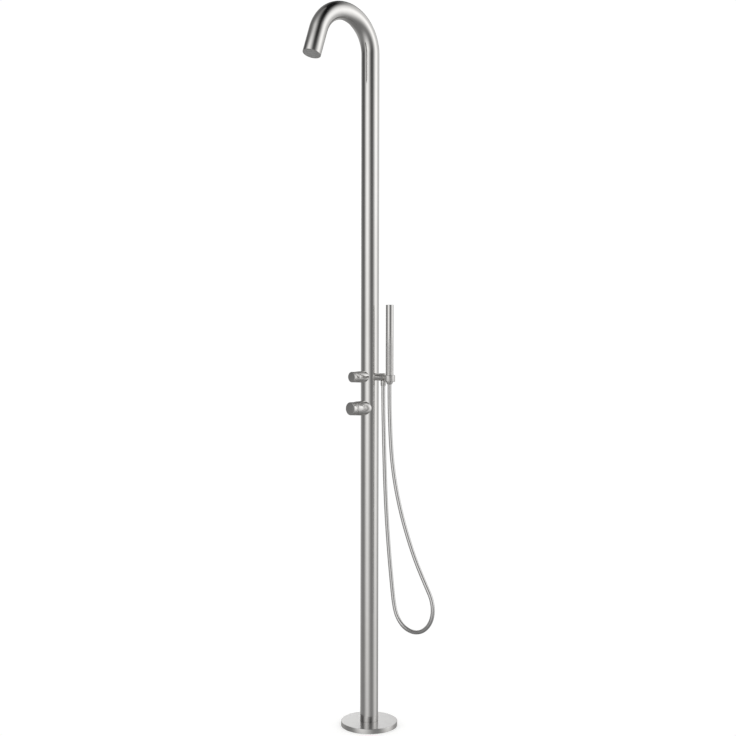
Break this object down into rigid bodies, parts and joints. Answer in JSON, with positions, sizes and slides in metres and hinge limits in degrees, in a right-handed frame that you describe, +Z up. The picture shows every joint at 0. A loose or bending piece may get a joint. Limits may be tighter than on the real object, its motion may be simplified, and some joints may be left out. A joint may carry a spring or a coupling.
{
  "type": "outdoor shower post",
  "caption": "Free-standing outdoor shower: bent round post on a floor flange, gooseneck spout, mixer and diverter knobs, side arm with stick handset and looped hose.",
  "frame": {"origin": "centre of the base on the floor, on the post's axis", "axes": "+Z up along the post; -Y is the front, where the spout and both knobs point; +X is the side with the handset's arm"},
  "size_m": [0.3492, 0.3477, 2.159],
  "materials": {
    "stainless": "fine-polished stainless steel, near mirror",
    "hose_steel": "spirally wound stainless strip, satin",
    "flange_steel": "plain mill-finish stainless steel",
    "brass": "machined, uncoated",
    "seal_rubber": "matt black",
    "silicone": "matt grey silicone",
    "valve_plastic": "natural moulded acetal",
    "ceramic_disc": "lapped alumina"
  },
  "bodies": {
    "post": {"base_cover": "stainless", "base_flange": "flange_steel", "cold_inlet_fitting": "brass", "cold_supply_pipe": "flange_steel", "cover_seal": "seal_rubber", "diverter_block": "brass", "diverter_cartridge": "valve_plastic", "diverter_fixed_disc": "ceramic_disc", "diverter_housing": "brass", "diverter_retaining_nut": "brass", "diverter_sleeve": "stainless", "handset_arm": "stainless", "handset_holder": "stainless", "hose_ferrule": "stainless", "hot_inlet_fitting": "brass", "hot_supply_pipe": "flange_steel", "link_pipe": "flange_steel", "mixer_block": "brass", "mixer_cartridge": "valve_plastic", "mixer_fixed_disc": "ceramic_disc", "mixer_housing": "brass", "mixer_retaining_nut": "brass", "mixer_sleeve": "stainless", "nozzle_mat": "silicone", "outlet_body": "brass", "outlet_oring": "seal_rubber", "post_tube": "stainless", "riser_pipe": "flange_steel", "shower_hose": "hose_steel", "spout_bend": "stainless", "spray_plate": "stainless"},
    "mixer_control": {"mixer_moving_disc": "ceramic_disc", "mixer_spindle": "brass", "mixer_knob": "stainless", "mixer_grub_screw": "flange_steel"},
    "diverter_control": {"diverter_moving_disc": "ceramic_disc", "diverter_spindle": "brass", "diverter_knob": "stainless", "diverter_grub_screw": "flange_steel"},
    "hose_end": {"hose_stem": "brass"},
    "handset": {"cone_nut": "stainless", "handset_washer": "seal_rubber", "handset_waterway": "valve_plastic", "handset_tube": "stainless", "handset_cap": "stainless", "nozzle_strip": "silicone"}
  },
  "joints": [
    {"name": "mixer_turn", "type": "hinge", "parent": "post", "child": "mixer_control", "pos_m": [0, -0.06, 0.964], "axis": [0, -1, 0], "range_deg": [0, 100]},
    {"name": "diverter_turn", "type": "hinge", "parent": "post", "child": "diverter_control", "pos_m": [0, -0.056, 1.058], "axis": [0, -1, 0], "range_deg": [0, 90]},
    {"name": "handset_lift", "type": "slide", "parent": "post", "child": "hose_end", "axis": [0, 0, 1], "range_m": [0, 0.04]},
    {"name": "handset_swivel", "type": "hinge", "parent": "hose_end", "child": "handset", "pos_m": [0.083, 0, 1.0645], "axis": [0, 0, 1], "continuous": true}
  ]
}
